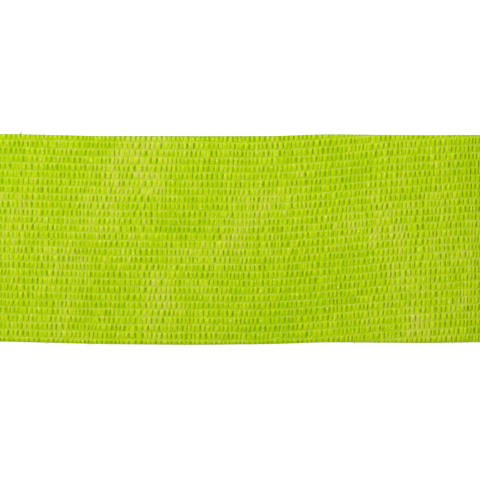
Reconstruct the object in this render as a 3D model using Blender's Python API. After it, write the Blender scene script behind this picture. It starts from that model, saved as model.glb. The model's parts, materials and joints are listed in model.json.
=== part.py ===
"""A sweat wristband: one strip of crinkled elastic fabric closed into a loop by a cling lap, lying flattened.

The strip has three layers: an outer web, a layer of lengthwise elastic threads set in their binder, and an
inner web. The loop lies on its back with the front panel up. +X runs along the flattened loop, +Y along the
wrist's axis and +Z up, and the origin is at the middle of the underside.

The loop opens by bending along six lines across the strip, so each layer is cut there into panels. Each
panel hangs on an empty that sits on its bending line, and the empties form one chain, from the half of the
lap that lies underneath, round the loop, to the half that lies over it.
"""

import math

import bmesh
import bpy

# Driving dimensions, in metres.
BAND_WIDTH = 0.035
FLAT_LENGTH = 0.088
FLAT_HEIGHT = 0.0094
CENTRE_HALF = 0.0147
LAP_LENGTH = 0.012

WEB_THICKNESS = 0.0003
THREAD_LAYER_THICKNESS = 0.0003
LAYER_GAP = 0.0003
PANEL_GAP = 0.0003
LAP_GAP = 0.0003

THREAD_COUNT = 27
THREAD_PITCH = 0.001277
THREAD_WIDTH = 0.0006
BINDER_THICKNESS = 0.0001

FOLD_STEPS = 3
LAP_STEP_LENGTH = 0.0022

# Sizes that follow from the driving dimensions.
BAND_THICKNESS = 2 * WEB_THICKNESS + THREAD_LAYER_THICKNESS + 2 * LAYER_GAP
FOLD_RADIUS = FLAT_HEIGHT / 2
FOLD_CENTRE_X = FLAT_LENGTH / 2 - FOLD_RADIUS
LAP_HALF = LAP_LENGTH / 2
LAP_RISE = BAND_THICKNESS + LAP_GAP
FOLD_END_ANGLE = math.asin(PANEL_GAP / 2 / (FOLD_RADIUS - BAND_THICKNESS))

# How deep each layer lies below the strip's outer face, as (nearer face, farther face).
OUTER_WEB_DEPTH = (0.0, WEB_THICKNESS)
THREAD_LAYER_DEPTH = (
    WEB_THICKNESS + LAYER_GAP,
    WEB_THICKNESS + LAYER_GAP + THREAD_LAYER_THICKNESS,
)
INNER_WEB_DEPTH = (BAND_THICKNESS - WEB_THICKNESS, BAND_THICKNESS)

# Linear colours, and roughness.
WEB_COLOUR = (0.45, 0.60, 0.012)
WEB_ROUGHNESS = 0.85
THREAD_COLOUR = (0.62, 0.70, 0.16)
THREAD_ROUGHNESS = 0.55


def clear_scene():
    for thing in list(bpy.data.objects):
        bpy.data.objects.remove(thing)


def material(name, colour, roughness):
    made = bpy.data.materials.new(name)
    made.use_nodes = True
    shader = made.node_tree.nodes["Principled BSDF"]
    shader.inputs["Base Color"].default_value = (*colour, 1.0)
    shader.inputs["Roughness"].default_value = roughness
    shader.inputs["Metallic"].default_value = 0.0
    made.diffuse_color = (*colour, 1.0)
    return made


# A station is a place along the strip, seen from its side: a point (x, z) on the outer face, and the inward
# step (x, z) that goes one unit deeper into the strip there.


def flat_stations(x_start, x_end, z, inward_z):
    return [((x, z), (0.0, inward_z)) for x in (x_start, x_end)]


def fold_stations(side, start_angle, end_angle):
    """Stations round a fold at one end of the loop, side -1 or 1, between two angles above its middle."""
    stations = []
    for step in range(FOLD_STEPS + 1):
        angle = start_angle + (end_angle - start_angle) * step / FOLD_STEPS
        out_x = side * math.cos(angle)
        out_z = math.sin(angle)
        point = (side * FOLD_CENTRE_X + FOLD_RADIUS * out_x, FOLD_RADIUS + FOLD_RADIUS * out_z)
        stations.append((point, (-out_x, -out_z)))
    return stations


def side_stations(side, half):
    """A side panel with its quarter of the fold: side is -1 or 1, half is -1 for the back and 1 for the front."""
    near_x = side * (CENTRE_HALF + PANEL_GAP / 2)
    flat_z = FOLD_RADIUS + half * FOLD_RADIUS
    flat = flat_stations(near_x, side * FOLD_CENTRE_X, flat_z, -half)
    fold = fold_stations(side, half * math.pi / 2, half * FOLD_END_ANGLE)
    return flat + fold[1:]


def lap_over_stations():
    """The lap's upper half: it leaves the bending line level, steps up one thickness and lies over the other."""
    slope = math.atan2(LAP_RISE, LAP_STEP_LENGTH)
    mitre_x = math.tan(slope / 2)
    step_foot = LAP_HALF + PANEL_GAP + LAP_STEP_LENGTH
    start = ((CENTRE_HALF - PANEL_GAP / 2, 0.0), (0.0, 1.0))
    foot = ((step_foot, 0.0), (mitre_x, 1.0))
    head = ((step_foot - LAP_STEP_LENGTH, LAP_RISE), (mitre_x, 1.0))
    end = ((-LAP_HALF, LAP_RISE), (0.0, 1.0))
    return [start, foot, head, end]


# A section is the outline of one layer across the strip, as (y, depth below the outer face).


def web_section(depth):
    near, far = depth
    edge = BAND_WIDTH / 2
    return [(-edge, near), (edge, near), (edge, far), (-edge, far)]


def thread_section(depth):
    """A thin film of binder with the elastic threads standing out of both its faces as ribs."""
    near, far = depth
    film_near = (near + far - BINDER_THICKNESS) / 2
    film_far = (near + far + BINDER_THICKNESS) / 2
    edge = BAND_WIDTH / 2
    near_side = [(-edge, film_near)]
    far_side = [(-edge, film_far)]
    for index in range(THREAD_COUNT):
        middle = (index - (THREAD_COUNT - 1) / 2) * THREAD_PITCH
        for side, film, crest in ((near_side, film_near, near), (far_side, film_far, far)):
            side.append((middle - THREAD_WIDTH / 2, film))
            side.append((middle, crest))
            side.append((middle + THREAD_WIDTH / 2, film))
    near_side.append((edge, film_near))
    far_side.append((edge, film_far))
    return near_side + far_side[::-1]


def sweep(name, section, stations, origin):
    """A closed body: the section carried through the stations, with its points measured from origin."""
    shape = bmesh.new()
    rings = []
    for (x, z), (in_x, in_z) in stations:
        ring = [
            shape.verts.new((x + in_x * depth - origin[0], y, z + in_z * depth - origin[2]))
            for y, depth in section
        ]
        rings.append(ring)
    count = len(section)
    for ring, following in zip(rings, rings[1:]):
        for index in range(count):
            after = (index + 1) % count
            shape.faces.new((ring[index], ring[after], following[after], following[index]))
    ends = [shape.faces.new(rings[0]), shape.faces.new(rings[-1])]
    bmesh.ops.triangulate(shape, faces=ends)
    bmesh.ops.recalc_face_normals(shape, faces=shape.faces)
    mesh = bpy.data.meshes.new(name)
    shape.to_mesh(mesh)
    shape.free()
    mesh.shade_smooth()
    mesh.set_sharp_from_angle(angle=math.radians(30))
    return mesh


def add_object(name, data, location, parent):
    made = bpy.data.objects.new(name, data)
    bpy.context.scene.collection.objects.link(made)
    made.parent = parent
    made.location = location
    return made


def add_panel(name, stations, axis, parent, parent_axis, materials):
    """One panel's three layers, on an empty that sits on the panel's bending line."""
    offset = [mine - theirs for mine, theirs in zip(axis, parent_axis)]
    pivot = add_object(name + "_axis", None, offset, parent)
    pivot.empty_display_size = FOLD_RADIUS
    layers = (
        ("outer_web", web_section(OUTER_WEB_DEPTH)),
        ("elastic_threads", thread_section(THREAD_LAYER_DEPTH)),
        ("inner_web", web_section(INNER_WEB_DEPTH)),
    )
    for layer, section in layers:
        mesh = sweep(f"{name}_{layer}", section, stations, axis)
        mesh.materials.append(materials[layer])
        add_object(mesh.name, mesh, (0.0, 0.0, 0.0), pivot)
    return pivot


def build():
    clear_scene()
    materials = {
        "outer_web": material("outer_web", WEB_COLOUR, WEB_ROUGHNESS),
        "elastic_threads": material("elastic_threads", THREAD_COLOUR, THREAD_ROUGHNESS),
        "inner_web": material("inner_web", WEB_COLOUR, WEB_ROUGHNESS),
    }
    back_z = BAND_THICKNESS
    front_z = FLAT_HEIGHT - BAND_THICKNESS
    fold_x = FLAT_LENGTH / 2
    centre = CENTRE_HALF - PANEL_GAP / 2
    lap_under = flat_stations(-centre, LAP_HALF, 0.0, 1.0)
    front_centre = flat_stations(-centre, centre, FLAT_HEIGHT, -1.0)

    # Each panel with its stations and its bending line, in order from the lap's lower half round the loop.
    chain = (
        ("lap_under", lap_under, (0.0, 0.0, 0.0)),
        ("back_left", side_stations(-1, -1), (-CENTRE_HALF, 0.0, back_z)),
        ("front_left", side_stations(-1, 1), (-fold_x, 0.0, FOLD_RADIUS)),
        ("front_centre", front_centre, (-CENTRE_HALF, 0.0, front_z)),
        ("front_right", side_stations(1, 1), (CENTRE_HALF, 0.0, front_z)),
        ("back_right", side_stations(1, -1), (fold_x, 0.0, FOLD_RADIUS)),
        ("lap_over", lap_over_stations(), (CENTRE_HALF, 0.0, back_z)),
    )
    parent = None
    parent_axis = (0.0, 0.0, 0.0)
    for name, stations, axis in chain:
        parent = add_panel(name, stations, axis, parent, parent_axis, materials)
        parent_axis = axis


build()
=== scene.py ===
"""Looks of the sweat wristband: a strip of lime green crinkled wrap, closed into a loop by a cling lap.

The strip is one outer web, one inner web and the elastic threads between them. Every piece here is made on
one master grid that runs along the whole strip, from the lap's lower end round the loop to its upper end,
and is cut into six stretches. Each stretch crosses one joint.

Lengths along the strip are measured round its outer face. "Across" is +Y, and "thread" counts the elastic
threads from one cut edge to the other: whole numbers lie on a thread, and between them the webs crinkle.
"""

import json
import math

import bpy
import numpy as np
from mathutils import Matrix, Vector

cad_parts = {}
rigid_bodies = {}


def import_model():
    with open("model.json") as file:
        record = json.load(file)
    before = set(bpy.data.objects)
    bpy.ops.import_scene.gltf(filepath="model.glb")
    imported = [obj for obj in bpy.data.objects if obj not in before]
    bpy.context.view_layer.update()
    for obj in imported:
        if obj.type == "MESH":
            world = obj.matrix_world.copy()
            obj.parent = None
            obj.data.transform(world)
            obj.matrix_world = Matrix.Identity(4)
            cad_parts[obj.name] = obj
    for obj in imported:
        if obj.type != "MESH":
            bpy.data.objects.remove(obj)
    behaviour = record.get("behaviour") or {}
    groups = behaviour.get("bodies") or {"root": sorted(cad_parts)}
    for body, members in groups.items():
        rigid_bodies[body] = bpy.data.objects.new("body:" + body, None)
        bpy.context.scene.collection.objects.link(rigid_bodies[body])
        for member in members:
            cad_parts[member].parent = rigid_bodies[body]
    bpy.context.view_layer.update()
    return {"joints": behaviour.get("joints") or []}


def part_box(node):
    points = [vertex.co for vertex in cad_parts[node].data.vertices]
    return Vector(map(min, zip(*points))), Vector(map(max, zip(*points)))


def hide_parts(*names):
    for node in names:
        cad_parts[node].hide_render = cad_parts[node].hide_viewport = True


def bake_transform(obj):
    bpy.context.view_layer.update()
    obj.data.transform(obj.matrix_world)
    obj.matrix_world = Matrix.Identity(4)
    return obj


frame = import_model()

MM = 0.001
SEED = 20

# How finely the webs are meshed: along the strip, and where rows lie from one thread to the next.
COLUMN_STEP = 0.115 * MM
ROW_PLACES = (0.0, 0.09, 0.25, 0.5, 0.75, 0.91)

# The elastic threads.
THREAD_PITCH = 1.277 * MM
THREAD_RADIUS = 0.13 * MM
THREAD_SIDES = 8
THREAD_COLUMN_STEP = 4
TOP_THREAD_INSET = 1.0 * MM
THREADS_ACROSS = 27
SPARE_THREADS = 2
RIPPLE = 0.035 * MM
RIPPLE_LENGTH = 3.1 * MM
RIPPLE_TURN = 2.1

# The crinkles between the threads. A web's relief goes from 0, at LOWEST over the strip's middle plane, to
# about 1, which is CREST_SPAN higher, and it is THREAD_LEVEL where it crosses a thread.
CRINKLE_PITCH = 0.80 * MM
LOWEST = 0.16 * MM
CREST_SPAN = 0.58 * MM
WEB_THICKNESS = 0.10 * MM
THREAD_LEVEL = 0.52

# The least and most that each slit, pleat and ridge draws, with widths in mm. A few slits are shallow.
SLIT_DEPTH = (0.43, 0.90)
SLIT_WIDTH = (0.085, 0.140)
SLIT_SHARPNESS = 2.2
SHALLOW_SHARE = 0.06
SHALLOW_FACTOR = 0.55
PLEAT_DEPTH = (-0.05, 0.50)
PLEAT_PLACE = (0.34, 0.66)
PLEAT_WIDTH = 0.065 * MM
CREST_HEIGHT = (0.82, 1.0)
RIDGE_LEVEL = 0.88
RIDGE_SWELL = 0.12

# How squarely a ridge rises between two threads, and how near to a thread its slits pinch shut, in pitches.
BULGE_POWER = 0.55
PINCH_REACH = 0.32

# How the slits stray from an even pitch and how they lean, as (spacing of the noise, amount in pitches).
# The local stray also follows the row before it.
STRAY_SHARED = (5.0 * MM, 0.5)
STRAY_LOCAL = (2.4 * MM, 0.38)
STRAY_QUICK = (1.0 * MM, 0.15)
SLIT_LEAN = (3.0 * MM, 0.13)
FOLLOW_ROW_BEFORE = 0.55
OWN_STRAY = 0.8
START_STRAY = 0.25

# How far from a cut edge and from the strip's ends its webs close down, what share of their relief is left
# right there and how much comes back, and how high the strip's slow waves are.
EDGE_FADE = 0.45 * MM
EDGE_LEAST = 0.55
EDGE_RISE = 0.45
END_FADE = 0.9 * MM
END_LEAST = 0.25
END_RISE = 0.75
UNDULATION = 0.045 * MM

# The strip's lie: where its middle wanders across, and how far the threads drift towards one cut edge,
# both in mm, at distances in mm along the front face from its middle.
WANDER = (
    (-60, 0.3), (-40, 0.4), (-24, 0.0), (-8, -0.15), (6, 0.0), (14, 0.3), (31, 0.15), (40, 0.25), (60, 0.0),
)
DRIFT = ((-4, 0.0), (0, -0.2), (13, 0.0), (19, 0.5), (25, 1.1), (31, 1.5), (40, 1.9), (60, 2.0))

# How far the front comes down by each fold, how softly the side view bends and how finely it is drawn.
CROWN_LEFT = 0.6 * MM
CROWN_RIGHT = 1.1 * MM
PATH_SOFTNESS = 1.3 * MM
PATH_STEP = 0.05 * MM
FOLD_POINTS = 60

# Pale blooms of latex and deeper green spots on the front, as (along, across, radius) in mm from its middle.
# The two spots at -40 and 39 mm are painted shade where the front curves down towards its folds.
PALE_SPOTS = (
    (-18, 10, 5), (-16, 16, 5), (-38, 3, 5), (-29, -5, 4), (-13, -7, 3), (-14, -12, 4), (-2, 1, 4),
    (3, 6, 3), (22, 3, 4), (28, -2, 5), (29, -14, 5), (-24, 5, 4), (-30, -15, 3),
)
GREEN_SPOTS_AND_END_SHADE = (
    (18, 12, 5), (-9, 3, 3), (6, -12, 7), (17, -7, 6), (-23, -11, 4), (-40, 12, 4), (39, 14, 5), (5, -17, 5),
)

# The loose fibres of both cut edges, with lengths and their spread over the strip's thickness in mm, and with
# the rest as shares of a fibre's length. A stray tuft on the +Y edge has its place along the front face.
FIBRE_RADIUS = 0.011 * MM
FIBRE_INSET = 0.05 * MM
FIBRE_SIDES = 3
FIBRE_POINTS = 4
FIBRES_PER_COLUMN = 0.45
FIBRE_LENGTH = (0.12, 0.45)
FIBRE_SPREAD = 0.35
FIBRE_LEAN = 0.8
FIBRE_RISE = 0.5
FIBRE_CURL = 0.6
TUFT_PLACE = -37.0 * MM
TUFT_FIBRES = 26
TUFT_LENGTH = (0.25, 0.60)


# ---------------------------------------------------------------------------------------------------------
# Sizes read from the frame
# ---------------------------------------------------------------------------------------------------------

JOINTS = {joint["name"]: joint for joint in frame["joints"]}
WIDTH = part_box("front_centre_outer_web")[1].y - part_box("front_centre_outer_web")[0].y
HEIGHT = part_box("front_centre_outer_web")[1].z
FOLD_X = JOINTS["right_fold_bend"]["pos_m"][0]
FOLD_RADIUS = HEIGHT / 2
FOLD_CENTRE_X = FOLD_X - FOLD_RADIUS
THICKNESS = JOINTS["back_left_bend"]["pos_m"][2]
LAP_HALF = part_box("lap_under_outer_web")[1].x
LAP_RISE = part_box("lap_over_outer_web")[1].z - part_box("lap_under_outer_web")[1].z

# Where the lap's upper half starts and ends its step up, along X.
LAP_STEP = (8.5 * MM, 6.3 * MM)


def ease(t):
    """A smooth step from 0 to 1."""
    t = np.clip(t, 0.0, 1.0)
    return t * t * (3 - 2 * t)


def through(points, at):
    """A smoothed line by (position, value) pairs given in mm, read at positions in metres."""
    x = np.array([position for position, _ in points]) * MM
    y = np.array([value for _, value in points]) * MM
    reach = 2.5 * MM
    offsets = np.linspace(-reach, reach, 9)
    return np.mean([np.interp(at + offset, x, y) for offset in offsets], axis=0)


class Path:
    """The strip's outer face seen from the side, as a fine line with its inward direction."""

    def __init__(self):
        x, z = self.corners()
        x, z = self.resample(x, z, PATH_STEP)
        x, z = self.soften(x, z)
        crown = np.where(x < 0, CROWN_LEFT, CROWN_RIGHT)
        z = z - crown * np.abs(x / FOLD_CENTRE_X) ** 6 * (z / HEIGHT)
        self.x, self.z = x, z
        step = np.hypot(np.diff(x), np.diff(z))
        self.s = np.concatenate(([0.0], np.cumsum(step)))
        self.length = self.s[-1]
        tx, tz = np.gradient(x, self.s), np.gradient(z, self.s)
        size = np.hypot(tx, tz)
        self.in_x, self.in_z = tz / size, -tx / size
        front = np.where(z > HEIGHT / 2)[0]
        self.middle = self.s[front[np.argmin(np.abs(x[front]))]]

    def corners(self):
        """The line before it is softened: from the lap's lower end round both folds to its upper end."""

        def fold(side, first, last):
            angle = np.linspace(first, last, FOLD_POINTS)
            fold_x = side * (FOLD_CENTRE_X + FOLD_RADIUS * np.cos(angle))
            fold_z = FOLD_RADIUS + FOLD_RADIUS * np.sin(angle)
            return fold_x, fold_z

        left = fold(-1, -math.pi / 2, math.pi / 2)
        right = fold(1, math.pi / 2, -math.pi / 2)
        lap = ((LAP_STEP[0], 0.0), (LAP_STEP[1], LAP_RISE), (-LAP_HALF, LAP_RISE))
        x = np.concatenate(([LAP_HALF], left[0], right[0], [point[0] for point in lap]))
        z = np.concatenate(([0.0], left[1], right[1], [point[1] for point in lap]))
        return x, z

    def resample(self, x, z, step):
        """The same line with its points a step apart."""
        s = np.concatenate(([0.0], np.cumsum(np.hypot(np.diff(x), np.diff(z)))))
        at = np.linspace(0.0, s[-1], int(s[-1] / step))
        return np.interp(at, s, x), np.interp(at, s, z)

    def soften(self, x, z):
        """Rounds the line off as cloth rounds its bends, and leaves its two ends where they are."""
        spread = PATH_SOFTNESS / PATH_STEP
        half = int(3 * spread)
        kernel = np.exp(-0.5 * (np.arange(-half, half + 1) / spread) ** 2)
        kernel /= kernel.sum()
        out = []
        for line in (x, z):
            before = 2 * line[0] - line[half:0:-1]
            after = 2 * line[-1] - line[-2:-half - 2:-1]
            out.append(np.convolve(np.concatenate((before, line, after)), kernel, "valid"))
        return out

    def at(self, s, depth):
        """Points (x, z) at lengths s, sunk by depth below the outer face."""
        x, z = np.interp(s, self.s, self.x), np.interp(s, self.s, self.z)
        in_x, in_z = np.interp(s, self.s, self.in_x), np.interp(s, self.s, self.in_z)
        return x + in_x * depth, z + in_z * depth

    def where(self, x, front, after_middle):
        """The length at which the line passes x, on its front or back, before or after the front's middle."""
        is_front = self.z > HEIGHT / 2
        right_half = (self.s > self.middle) == after_middle
        found = np.where((is_front == front) & right_half)[0]
        return self.s[found[np.argmin(np.abs(self.x[found] - x))]]


PATH = Path()


# ---------------------------------------------------------------------------------------------------------
# The crinkle pattern
# ---------------------------------------------------------------------------------------------------------

# Rows of crinkles, one between each two threads, and how many slits a row draws before they repeat.
FIRST_CELL = -SPARE_THREADS - 1
CELLS = THREADS_ACROSS + 2 * SPARE_THREADS + 1
TABLE = 512


def knot_noise(rng, rows, positions, spacing):
    """Smooth noise of about -1 to 1 along each of several rows, with a new value every spacing."""
    t = positions / spacing
    index = np.floor(t).astype(int)
    knots = rng.uniform(-1, 1, (rows, index.max() + 2))
    mix = ease(t - index)
    return knots[:, index] * (1 - mix) + knots[:, index + 1] * mix


def crinkle_rows(rng, along):
    """For each row of crinkles, how many slits have passed at each length, and how they lean."""
    shared = knot_noise(rng, 1, along, STRAY_SHARED[0])[0]
    local = knot_noise(rng, CELLS, along, STRAY_LOCAL[0])
    quick = knot_noise(rng, CELLS, along, STRAY_QUICK[0])
    for row in range(1, CELLS):
        local[row] = FOLLOW_ROW_BEFORE * local[row - 1] + OWN_STRAY * local[row]
    start = rng.uniform(-START_STRAY, START_STRAY, (CELLS, 1))
    phase = along / CRINKLE_PITCH + STRAY_SHARED[1] * shared + STRAY_LOCAL[1] * local
    phase = phase + STRAY_QUICK[1] * quick + start
    lean = SLIT_LEAN[1] * knot_noise(rng, CELLS, along, SLIT_LEAN[0])
    return phase, lean


def crinkles(rng, along, thread):
    """A web's relief on the grid, from 0 to about 1 on a crest, and each ridge's own tone."""
    table = (CELLS, TABLE)
    phase_rows, lean_rows = crinkle_rows(rng, along)
    slit_depth = rng.uniform(*SLIT_DEPTH, table)
    slit_depth[rng.uniform(0, 1, table) < SHALLOW_SHARE] *= SHALLOW_FACTOR
    slit_width = rng.uniform(*SLIT_WIDTH, table) * MM
    pleat_depth = rng.uniform(*PLEAT_DEPTH, table).clip(0.0)
    pleat_place = rng.uniform(*PLEAT_PLACE, table)
    crest = rng.uniform(*CREST_HEIGHT, table)
    tone = rng.normal(0.0, 1.0, table)

    cell = np.clip(np.floor(thread).astype(int) - FIRST_CELL, 0, CELLS - 1)
    between = thread - np.floor(thread)
    phase = phase_rows[cell, :].T + lean_rows[cell, :].T * (between - 0.5)
    row = np.broadcast_to(cell, phase.shape)

    slit = np.rint(phase).astype(int)
    distance = np.abs(phase - slit) * CRINKLE_PITCH
    key = slit % TABLE
    cut = slit_depth[row, key] * np.exp(-((distance / slit_width[row, key]) ** SLIT_SHARPNESS))

    ridge = np.floor(phase).astype(int)
    mix = ease(phase - ridge)
    key = ridge % TABLE
    top = crest[row, key] * (1 - mix) + crest[row, (ridge + 1) % TABLE] * mix
    rounded = RIDGE_LEVEL - RIDGE_SWELL * np.cos(2 * np.pi * phase)
    from_pleat = np.abs(phase - ridge - pleat_place[row, key]) * CRINKLE_PITCH
    pleat = np.exp(-((from_pleat / PLEAT_WIDTH) ** 2))
    top = top * rounded * (1 - pleat_depth[row, key] * pleat)
    bulge = np.sin(np.pi * between) ** BULGE_POWER
    pinch = ease(np.minimum(between, 1 - between) / PINCH_REACH)
    relief = (THREAD_LEVEL + (top - THREAD_LEVEL) * bulge) * (1 - cut * pinch)
    return relief, tone[row, key] * bulge


# ---------------------------------------------------------------------------------------------------------
# The master grid
# ---------------------------------------------------------------------------------------------------------


class Grid:
    """The strip's columns (along) and rows (across). Rows follow the threads and stop at the cut edges."""

    def __init__(self):
        self.columns = int(round(PATH.length / COLUMN_STEP)) + 1
        self.along = np.linspace(0.0, PATH.length, self.columns)
        self.thread = np.add.outer(np.arange(CELLS) + FIRST_CELL, ROW_PLACES).ravel()
        from_middle = self.along - PATH.middle
        self.wander = through(WANDER, from_middle)
        self.drift = through(DRIFT, from_middle)
        self.across, self.low, self.high = self.trim()
        self.edge = WIDTH / 2 - np.abs(self.across - self.wander[:, None])

    def thread_line(self, thread):
        """Where a thread lies across, at each column."""
        last = WIDTH / 2 - TOP_THREAD_INSET
        at = last - (THREADS_ACROSS - 1 - thread) * THREAD_PITCH
        ripple = RIPPLE * np.sin(thread * RIPPLE_TURN + self.along / RIPPLE_LENGTH)
        return at + self.drift + self.wander + ripple

    def trim(self):
        """Rows held between the cut edges, with the first and the last row that each column keeps."""
        across = np.stack([self.thread_line(t) for t in self.thread], axis=1)
        half = WIDTH / 2
        lowest, highest = self.wander[:, None] - half, self.wander[:, None] + half
        low = np.sum(across <= lowest, axis=1) - 1
        high = np.sum(across < highest, axis=1)
        return np.clip(across, lowest, highest), low, high


def undulation(along, across):
    """The slow unevenness of a soft strip that lies on its own, in metres: longer waves are higher."""
    waves = ((9.0, 31.0, 0.3), (14.0, -23.0, 1.7), (23.0, 60.0, 4.0), (6.3, 15.0, 2.2))
    longest = 23.0
    total = 0.0
    for long_wave, cross_wave, start in waves:
        turn = along / (long_wave * MM) + across / (cross_wave * MM) + start
        total = total + np.sin(turn) * long_wave / longest
    return UNDULATION * total


def web_heights(rng, grid):
    """A web's height over the strip's middle plane, its relief from 0 to 1 and its ridges' tones."""
    relief, tone = crinkles(rng, grid.along, grid.thread)
    end = np.minimum(grid.along, PATH.length - grid.along)[:, None]
    closed = EDGE_LEAST + EDGE_RISE * ease(grid.edge / EDGE_FADE)
    closed = closed * (END_LEAST + END_RISE * ease(end / END_FADE))
    relief = relief * closed
    return LOWEST + CREST_SPAN * relief, relief, tone


def spots(along, across, places):
    """The sum of soft round spots of strength 1, at places given in mm."""
    total = 0.0
    for x, y, radius in places:
        square = ((along - x * MM) ** 2 + (across - y * MM) ** 2) / (radius * MM) ** 2
        total = total + np.exp(-square)
    return total


# ---------------------------------------------------------------------------------------------------------
# Meshes
# ---------------------------------------------------------------------------------------------------------


def mesh_from(name, vertices, faces, layers, normals=None):
    """A mesh from points and faces of three or four corners, with its point attributes."""
    mesh = bpy.data.meshes.new(name)
    sizes = np.concatenate([np.full(len(group), group.shape[1]) for group in faces])
    corners = np.concatenate([group.ravel() for group in faces])
    mesh.vertices.add(len(vertices))
    mesh.vertices.foreach_set("co", vertices.astype(np.float32).ravel())
    mesh.loops.add(len(corners))
    mesh.loops.foreach_set("vertex_index", corners.astype(np.int32))
    mesh.polygons.add(len(sizes))
    starts = np.concatenate(([0], np.cumsum(sizes)[:-1]))
    mesh.polygons.foreach_set("loop_start", starts.astype(np.int32))
    mesh.update(calc_edges=True)
    mesh.shade_smooth()
    for layer, values in layers.items():
        kind, field = ("FLOAT_VECTOR", "vector") if values.ndim == 2 else ("FLOAT", "value")
        attribute = mesh.attributes.new(layer, kind, "POINT")
        attribute.data.foreach_set(field, values.astype(np.float32).ravel())
    if normals is not None:
        mesh.normals_split_custom_set_from_vertices(normals.astype(np.float32))
    return mesh


def add_object(name, mesh, *materials):
    made = bpy.data.objects.new(name, mesh)
    bpy.context.scene.collection.objects.link(made)
    for material in materials:
        mesh.materials.append(material)
    return made


def sorted_faces(a, b, c, d):
    """Grid cells as quads, as triangles where two corners are the same point, or nothing."""
    quads = np.stack([a, b, c, d], axis=-1).reshape(-1, 4)
    closed_start = quads[:, 0] == quads[:, 3]
    closed_end = quads[:, 1] == quads[:, 2]
    whole = quads[~closed_start & ~closed_end]
    from_point = quads[closed_start & ~closed_end][:, [0, 1, 2]]
    to_point = quads[~closed_start & closed_end][:, [0, 1, 3]]
    return [whole, np.concatenate((from_point, to_point))]


def surface_normals(grid, depth):
    """The outward normals of a web's face over the whole grid, so that the stretches meet without a seam."""
    x, z = PATH.at(grid.along[:, None], depth)
    points = np.stack([x, grid.across, z], axis=-1)
    normals = np.cross(np.gradient(points, axis=0), np.gradient(points, axis=1))
    size = np.linalg.norm(normals, axis=-1, keepdims=True)
    return normals / np.maximum(size, 1e-20)


def slab(name, grid, first, last, outside, inside, normals, layers):
    """A closed thin web between two depth fields, over the columns from first to last."""
    columns = np.arange(first, last + 1)
    low, high = grid.low[columns], grid.high[columns]
    counts = high - low + 1
    base = np.concatenate(([0], np.cumsum(counts)[:-1]))
    rows = np.arange(len(grid.thread))
    inner = np.clip(rows[None, :], low[:, None], high[:, None])
    index = base[:, None] + inner - low[:, None]
    used = (rows[None, :] >= low[:, None]) & (rows[None, :] <= high[:, None])

    along = np.broadcast_to(grid.along[columns][:, None], used.shape)[used]
    across = grid.across[columns][used]
    points = []
    for depth in (outside, inside):
        x, z = PATH.at(along, depth[columns][used])
        points.append(np.stack([x, across, z], axis=1))
    total = len(along)
    a, b, c, d = index[:-1, :-1], index[1:, :-1], index[1:, 1:], index[:-1, 1:]
    faces = sorted_faces(a, b, c, d)
    faces += [group[:, ::-1] + total for group in faces]
    low_edge, high_edge = index[:, 0], index[:, -1]
    rim = [
        np.stack([low_edge[:-1], low_edge[:-1] + total, low_edge[1:] + total, low_edge[1:]], axis=1),
        np.stack([high_edge[:-1], high_edge[1:], high_edge[1:] + total, high_edge[:-1] + total], axis=1),
    ]
    for column, turned in ((0, True), (-1, False)):
        line = np.unique(index[column])
        cap = np.stack([line[:-1], line[:-1] + total, line[1:] + total, line[1:]], axis=1)
        rim.append(cap[:, ::-1] if turned else cap)
    both = {key: np.tile(field[columns][used], 2) for key, field in layers.items()}
    strip = np.stack([along, across, np.broadcast_to(grid.thread[None, :], used.shape)[used]], axis=1)
    both["strip"] = np.concatenate((strip, strip))
    facing = np.concatenate((normals[columns][used], -normals[columns][used]))
    return mesh_from(name, np.concatenate(points), faces + rim, both, facing)


def tubes(name, lines, radius, sides):
    """Round threads along lines of points, closed at both ends, as one mesh."""
    vertices, quads, fans, strips = [], [], [], []
    base = 0
    angle = np.arange(sides) * 2 * np.pi / sides
    for points, coordinates in lines:
        count = len(points)
        forward = np.gradient(points, axis=0)
        forward /= np.linalg.norm(forward, axis=1)[:, None]
        side = np.cross(forward, (0.0, 1.0, 0.0))
        size = np.linalg.norm(side, axis=1)[:, None]
        side = np.where(size > 1e-3, side / np.maximum(size, 1e-9), (0.0, 0.0, 1.0))
        up = np.cross(side, forward)
        ring = points[:, None, :] + radius * (
            np.cos(angle)[None, :, None] * side[:, None, :] + np.sin(angle)[None, :, None] * up[:, None, :]
        )
        vertices.append(ring.reshape(-1, 3))
        strips.append(np.repeat(coordinates, sides, axis=0))
        index = base + np.arange(count * sides).reshape(count, sides)
        turned = np.roll(index, -1, axis=1)
        quads.append(np.stack([index[:-1], turned[:-1], turned[1:], index[1:]], axis=-1).reshape(-1, 4))
        fans.append(np.stack([np.full(sides - 2, index[0, 0]), index[0, 2:], index[0, 1:-1]], axis=1))
        fans.append(np.stack([np.full(sides - 2, index[-1, 0]), index[-1, 1:-1], index[-1, 2:]], axis=1))
        base += count * sides
    faces = [np.concatenate(quads), np.concatenate(fans)]
    return mesh_from(name, np.concatenate(vertices), faces, {"strip": np.concatenate(strips)})


# ---------------------------------------------------------------------------------------------------------
# Materials
# ---------------------------------------------------------------------------------------------------------


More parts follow.
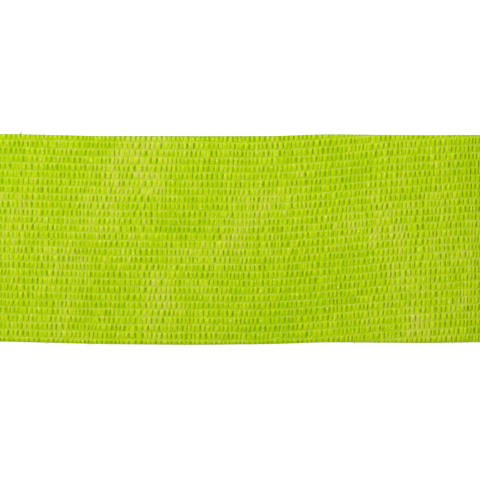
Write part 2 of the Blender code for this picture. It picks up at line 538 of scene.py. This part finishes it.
class Nodes:
    """Short names for the shader nodes that the materials share."""

    def __init__(self, name):
        self.material = bpy.data.materials.new(name)
        self.material.use_nodes = True
        self.tree = self.material.node_tree
        self.shader = self.tree.nodes["Principled BSDF"]

    def link(self, value, socket):
        if isinstance(value, (int, float)):
            socket.default_value = value
        elif isinstance(value, tuple):
            socket.default_value = (*value, 1.0) if len(value) == 3 and socket.type == "RGBA" else value
        else:
            self.tree.links.new(value, socket)

    def attribute(self, name):
        node = self.tree.nodes.new("ShaderNodeAttribute")
        node.attribute_name = name
        return node

    def math(self, operation, *values):
        node = self.tree.nodes.new("ShaderNodeMath")
        node.operation = operation
        for value, socket in zip(values, node.inputs):
            self.link(value, socket)
        return node.outputs[0]

    def noise(self, vector, scale, detail=3.0, roughness=0.55):
        node = self.tree.nodes.new("ShaderNodeTexNoise")
        self.link(vector, node.inputs["Vector"])
        node.inputs["Scale"].default_value = scale
        node.inputs["Detail"].default_value = detail
        node.inputs["Roughness"].default_value = roughness
        return node.outputs["Fac"]

    def stretch(self, vector, factors):
        node = self.tree.nodes.new("ShaderNodeMapping")
        self.link(vector, node.inputs["Vector"])
        node.inputs["Scale"].default_value = factors
        return node.outputs["Vector"]

    def span(self, value, low, high, to_low=0.0, to_high=1.0):
        node = self.tree.nodes.new("ShaderNodeMapRange")
        node.interpolation_type = "SMOOTHSTEP"
        for amount, socket in zip((value, low, high, to_low, to_high), node.inputs):
            self.link(amount, socket)
        return node.outputs["Result"]

    def mix(self, factor, first, second):
        node = self.tree.nodes.new("ShaderNodeMix")
        node.data_type = "RGBA"
        self.link(factor, node.inputs[0])
        first_colour, second_colour = [socket for socket in node.inputs if socket.type == "RGBA"]
        self.link(first, first_colour)
        self.link(second, second_colour)
        return node.outputs[2]

    def bump(self, height, strength, distance):
        node = self.tree.nodes.new("ShaderNodeBump")
        node.inputs["Strength"].default_value = strength
        node.inputs["Distance"].default_value = distance
        self.link(height, node.inputs["Height"])
        return node.outputs["Normal"]


# Linear colours. The sheen's tint has an alpha, because it is set straight on the shader.
LIME = (0.500, 0.665, 0.002)
# The slits' darker, deeper green is painted shade.
PAINTED_SLIT_SHADE = (0.295, 0.468, 0.000)
GRASS = (0.360, 0.600, 0.002)
PALE_LIME = (0.610, 0.700, 0.052)
BEIGE = (0.610, 0.610, 0.092)
# The glint colour is a painted highlight.
GLINT = (0.720, 0.830, 0.120)
THREAD_COLOUR = (0.570, 0.680, 0.070)
DEEP_THREAD_COLOUR = (0.50, 0.62, 0.05)
LIME_SHEEN = (0.75, 0.95, 0.06, 1.0)


def web_material(name):
    """A crinkled web: painted shade in its slits, paler on some ridges, with fine fibres and rare painted
    glints.
    """
    nodes = Nodes(name)
    strip = nodes.attribute("strip")
    relief = nodes.attribute("relief").outputs["Fac"]
    spot_tone_and_end_shade = nodes.attribute("spot_tone_and_end_shade").outputs["Fac"]
    tone = nodes.attribute("tone").outputs["Fac"]
    place = nodes.stretch(strip.outputs["Vector"], (1.0, 1.0, 0.0))

    mottle = nodes.noise(place, 230.0, 2.0)
    fibres = nodes.noise(nodes.stretch(place, (1.0, 0.35, 0.0)), 5200.0, 3.0, 0.7)
    flecks = nodes.noise(nodes.stretch(place, (1.0, 0.22, 0.0)), 3400.0, 2.0, 0.65)
    glint_specks = nodes.noise(nodes.stretch(place, (1.0, 0.8, 0.0)), 2000.0, 1.0)
    # How near the relief is to a crest: below it lies the painted slit shade, on it the painted glints.
    crest = nodes.span(relief, 0.29, 0.66)

    # How pale a ridge is: its own tone, raised in the blooms and over broad mottled patches, and lowered in
    # the green spots and in the painted shade at the front's two ends.
    patch = nodes.math("ADD", nodes.math("MULTIPLY", spot_tone_and_end_shade, 1.1), nodes.span(mottle, 0.32, 0.68, -0.7, 0.7))
    pale = nodes.math("ADD", nodes.math("MULTIPLY", tone, 0.35), patch)
    pale = nodes.math("ADD", pale, nodes.span(flecks, 0.30, 0.70, -1.6, 1.6))

    colour = nodes.mix(nodes.span(pale, 0.2, -1.8, 0.0, 0.75), LIME, GRASS)
    colour = nodes.mix(nodes.span(pale, 0.2, 2.2, 0.0, 0.75), colour, PALE_LIME)
    colour = nodes.mix(nodes.span(pale, 1.5, 2.9, 0.0, 0.75), colour, BEIGE)
    # Painted shade: below the crests the slits take a darker, deeper green.
    colour = nodes.mix(crest, PAINTED_SLIT_SHADE, colour)
    # Painted highlights: rare bright glints on the crests.
    glint = nodes.math("MULTIPLY", nodes.span(glint_specks, 0.66, 0.74, 0.0, 0.8), crest)
    colour = nodes.mix(glint, colour, GLINT)

    # The threads show through as fine paler lines, fainter where the web covers them.
    separate = nodes.tree.nodes.new("ShaderNodeSeparateXYZ")
    nodes.link(strip.outputs["Vector"], separate.inputs["Vector"])
    count = nodes.math("FRACT", nodes.math("ADD", separate.outputs["Z"], 50.5))
    on_thread = nodes.span(nodes.math("ABSOLUTE", nodes.math("SUBTRACT", count, 0.5)), 0.085, 0.035)
    cover = nodes.noise(nodes.stretch(place, (1.0, 3.0, 0.0)), 700.0, 2.0)
    strength = nodes.span(cover, 0.35, 0.62, 0.12, 0.78)
    colour = nodes.mix(nodes.math("MULTIPLY", on_thread, strength), colour, THREAD_COLOUR)

    nodes.link(colour, nodes.shader.inputs["Base Color"])
    nodes.link(nodes.span(fibres, 0.3, 0.7, 0.55, 0.80), nodes.shader.inputs["Roughness"])
    streaks = nodes.math("ADD", nodes.math("MULTIPLY", flecks, 2.2), fibres)
    nodes.link(nodes.bump(streaks, 0.55, 0.055 * MM), nodes.shader.inputs["Normal"])
    nodes.shader.inputs["Specular IOR Level"].default_value = 0.13
    nodes.shader.inputs["Specular Tint"].default_value = LIME_SHEEN
    nodes.shader.inputs["Sheen Weight"].default_value = 0.06
    nodes.shader.inputs["Sheen Roughness"].default_value = 0.5
    nodes.shader.inputs["Sheen Tint"].default_value = LIME_SHEEN
    return nodes.material


def thread_material(name):
    """Elastic threads in their binder: smoother and paler than the webs."""
    nodes = Nodes(name)
    place = nodes.stretch(nodes.attribute("strip").outputs["Vector"], (1.0, 1.0, 0.0))
    grain = nodes.noise(nodes.stretch(place, (1.0, 4.0, 0.0)), 2600.0)
    colour = nodes.mix(nodes.span(grain, 0.35, 0.65), THREAD_COLOUR, DEEP_THREAD_COLOUR)
    nodes.link(colour, nodes.shader.inputs["Base Color"])
    nodes.link(nodes.span(grain, 0.3, 0.7, 0.40, 0.62), nodes.shader.inputs["Roughness"])
    nodes.link(nodes.bump(grain, 0.4, 0.02 * MM), nodes.shader.inputs["Normal"])
    return nodes.material


def fuzz_material(name):
    """The loose fibres, in the webs' own colours."""
    nodes = Nodes(name)
    place = nodes.stretch(nodes.attribute("strip").outputs["Vector"], (1.0, 1.0, 0.0))
    tone = nodes.noise(place, 900.0, 1.0)
    colour = nodes.mix(nodes.span(tone, 0.4, 0.6), LIME, PALE_LIME)
    nodes.link(colour, nodes.shader.inputs["Base Color"])
    nodes.shader.inputs["Roughness"].default_value = 0.7
    return nodes.material


def floor_material(name):
    """A matt ground that gives off its own light, so that it is white around the strip."""
    nodes = Nodes(name)
    coordinate = nodes.tree.nodes.new("ShaderNodeTexCoord").outputs["Object"]
    tone = nodes.noise(coordinate, 6.0, 2.0)
    nodes.link(nodes.mix(tone, (0.28, 0.28, 0.28), (0.32, 0.32, 0.32)), nodes.shader.inputs["Base Color"])
    nodes.shader.inputs["Roughness"].default_value = 0.9
    nodes.shader.inputs["Emission Color"].default_value = (1.0, 1.0, 1.0, 1.0)
    nodes.shader.inputs["Emission Strength"].default_value = 0.90
    return nodes.material


# ---------------------------------------------------------------------------------------------------------
# Camera, floor and light
# ---------------------------------------------------------------------------------------------------------


def make_camera():
    """A long lens straight above the strip, with a view as wide as given where the front face lies."""
    data = bpy.data.cameras.new("camera")
    data.lens = 200.0
    data.sensor_width = 36.0
    data.clip_start = 0.01
    data.clip_end = 20.0
    camera = bpy.data.objects.new("camera", data)
    view_width = 80.65 * MM
    camera.location = (0.0, 0.0, HEIGHT + view_width * data.lens / data.sensor_width)
    bpy.context.scene.collection.objects.link(camera)
    bpy.context.scene.camera = camera


def make_floor():
    """A pale ground a hair below the strip, so that no face of the strip lies in it."""
    reach = 3.0
    drop = 0.05 * MM
    corners = np.array([(-1, -1, 0), (1, -1, 0), (1, 1, 0), (-1, 1, 0)]) * reach
    corners[:, 2] = -drop
    mesh = mesh_from("floor", corners, [np.array([[0, 1, 2, 3]])], {})
    add_object("floor", mesh, floor_material("floor"))


def make_light(name, place, size, power):
    """A round lamp aimed at the strip's middle."""
    data = bpy.data.lights.new(name, "AREA")
    data.shape = "DISK"
    data.size = size
    data.energy = power
    lamp = bpy.data.objects.new(name, data)
    bpy.context.scene.collection.objects.link(lamp)
    lamp.location = place
    direction = -lamp.location
    lamp.rotation_mode = "QUATERNION"
    lamp.rotation_quaternion = direction.to_track_quat("-Z", "Y")


def make_world():
    """A pale surround, brighter towards the horizon than overhead."""
    world = bpy.data.worlds.new("studio")
    bpy.context.scene.world = world
    world.use_nodes = True
    tree = world.node_tree
    background = tree.nodes["Background"]
    coordinate = tree.nodes.new("ShaderNodeTexCoord")
    separate = tree.nodes.new("ShaderNodeSeparateXYZ")
    spread = tree.nodes.new("ShaderNodeMapRange")
    tree.links.new(coordinate.outputs["Generated"], separate.inputs["Vector"])
    tree.links.new(separate.outputs["Z"], spread.inputs["Value"])
    low, high = 0.05, 0.7
    strength_low, strength_high = 1.0, 0.32
    for value, socket in zip((low, high, strength_low, strength_high), spread.inputs[1:5]):
        socket.default_value = value
    tree.links.new(spread.outputs["Result"], background.inputs["Strength"])
    background.inputs["Color"].default_value = (1.0, 1.0, 1.0, 1.0)


# ---------------------------------------------------------------------------------------------------------
# The strip's stretches
# ---------------------------------------------------------------------------------------------------------

# Each stretch crosses the joint that it is named after, and ends at (x in mm, on the front, past the middle).
STRETCHES = (
    ("back_left_bend", (-27.0, False, False)),
    ("left_fold_bend", (-31.0, True, False)),
    ("front_left_bend", (0.0, True, False)),
    ("front_right_bend", (31.0, True, True)),
    ("right_fold_bend", (27.0, False, True)),
    ("back_right_bend", None),
)


def stretch_ends(grid):
    """The first and last column of each stretch."""
    ends = [0]
    for _, place in STRETCHES:
        if place is None:
            ends.append(grid.columns - 1)
        else:
            x, front, after = place
            ends.append(int(round(PATH.where(x * MM, front, after) / PATH.length * (grid.columns - 1))))
    return list(zip(ends[:-1], ends[1:]))


def settle(piece, joint_name, layer):
    """Bakes a piece's placement into its mesh and, for a layer, hides that layer's CAD solids on the joint's
    parent, and on its child too for the last stretch.
    """
    joint = JOINTS[joint_name]
    parent, child = joint["parent"], joint["child"]
    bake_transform(piece)
    if layer:
        panels = [parent, child] if joint_name == STRETCHES[-1][0] else [parent]
        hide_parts(*[f"{panel}_{layer}" for panel in panels])


def thread_lines(grid, first, last):
    """The middle lines of the elastic threads over a stretch, without what the cut edges leave out."""
    columns = np.unique(np.concatenate((np.arange(first, last, THREAD_COLUMN_STEP), [last])))
    lines = []
    for thread in range(-SPARE_THREADS, THREADS_ACROSS + SPARE_THREADS):
        across = grid.thread_line(thread)
        inside = np.abs(across - grid.wander) < WIDTH / 2 - THREAD_RADIUS
        kept = columns[inside[columns]]
        if len(kept) < 3:
            continue
        along = grid.along[kept]
        x, z = PATH.at(along, THICKNESS / 2 - undulation(along, across[kept]))
        points = np.stack([x, across[kept], z], axis=1)
        coordinates = np.stack([along, across[kept], np.full(len(kept), float(thread))], axis=1)
        lines.append((points, coordinates))
    return lines


def fibre(rng, grid, column, side, length):
    """One short curled fibre that stands out of a cut edge: side is 1 at the +Y edge and -1 at the other."""
    across = grid.wander[column] + side * (WIDTH / 2 - FIBRE_INSET)
    depth = THICKNESS / 2 + rng.uniform(-FIBRE_SPREAD, FIBRE_SPREAD) * MM
    lean = rng.uniform(-FIBRE_LEAN, FIBRE_LEAN)
    rise = rng.uniform(-FIBRE_RISE, FIBRE_RISE)
    curl = rng.uniform(-FIBRE_CURL, FIBRE_CURL)
    t = np.linspace(0.0, 1.0, FIBRE_POINTS)
    along = grid.along[column] + length * (lean * t + curl * t * t)
    x, z = PATH.at(along, depth - length * rise * t)
    points = np.stack([x, across + side * length * t, z], axis=1)
    coordinates = np.stack([along, np.full(FIBRE_POINTS, across), np.zeros(FIBRE_POINTS)], axis=1)
    return points, coordinates


def fuzz_lines(rng, grid, first, last):
    """Short fibres that stand out of both cut edges, and one stray tuft on the +Y edge."""
    lines = []
    for _ in range(int((last - first) * FIBRES_PER_COLUMN)):
        column = int(rng.integers(first, last))
        side = 1.0 if rng.uniform() < 0.5 else -1.0
        lines.append(fibre(rng, grid, column, side, rng.uniform(*FIBRE_LENGTH) * MM))
    tuft = int(round((PATH.middle + TUFT_PLACE) / PATH.length * (grid.columns - 1)))
    if first <= tuft < last:
        for _ in range(TUFT_FIBRES):
            column = min(max(tuft + int(rng.integers(-1, 2)), first), last)
            lines.append(fibre(rng, grid, column, 1.0, rng.uniform(*TUFT_LENGTH) * MM))
    return lines


def make_strip():
    """Every piece of the strip, stretch by stretch: threads, loose fibres, outer web and inner web."""
    rng = np.random.default_rng(SEED)
    grid = Grid()
    from_middle = (grid.along - PATH.middle)[:, None]
    wave = undulation(grid.along[:, None], grid.across)
    # Pale blooms less green spots; the green spots at the front's two ends are painted shade.
    spot_tone_and_end_shade = spots(from_middle, grid.across, PALE_SPOTS) - spots(from_middle, grid.across, GREEN_SPOTS_AND_END_SHADE)

    webs = []
    for layer, side in (("outer_web", 1), ("inner_web", -1)):
        height, relief, tone = web_heights(rng, grid)
        face = THICKNESS / 2 - side * height - wave
        back = face + side * WEB_THICKNESS
        normals = surface_normals(grid, face)
        fields = {"relief": relief, "spot_tone_and_end_shade": spot_tone_and_end_shade, "tone": tone}
        outside, inside = (face, back) if side > 0 else (back, face)
        webs.append((layer, outside, inside, normals, fields, web_material(layer)))
    threads = thread_material("elastic_threads")
    fuzz = fuzz_material("edge_fibres")
    for (joint_name, _), (first, last) in zip(STRETCHES, stretch_ends(grid)):
        cords = tubes("threads", thread_lines(grid, first, last), THREAD_RADIUS, THREAD_SIDES)
        core = add_object(f"elastic_threads_{joint_name}", cords, threads)
        settle(core, joint_name, "elastic_threads")
        fibres = tubes("fibres", fuzz_lines(rng, grid, first, last), FIBRE_RADIUS, FIBRE_SIDES)
        hair = add_object(f"edge_fibres_{joint_name}", fibres, fuzz)
        settle(hair, joint_name, None)
        for layer, outside, inside, normals, fields, material in webs:
            mesh = slab(layer, grid, first, last, outside, inside, normals, fields)
            web = add_object(f"{layer}_{joint_name}", mesh, material)
            settle(web, joint_name, layer)


make_camera()
make_floor()
make_world()
make_light("key", place=(-0.07, 0.17, 0.30), size=0.13, power=0.80)
make_light("fill", place=(-0.30, -0.25, 0.55), size=0.45, power=0.15)
bpy.context.scene.view_settings.view_transform = "Standard"
make_strip()
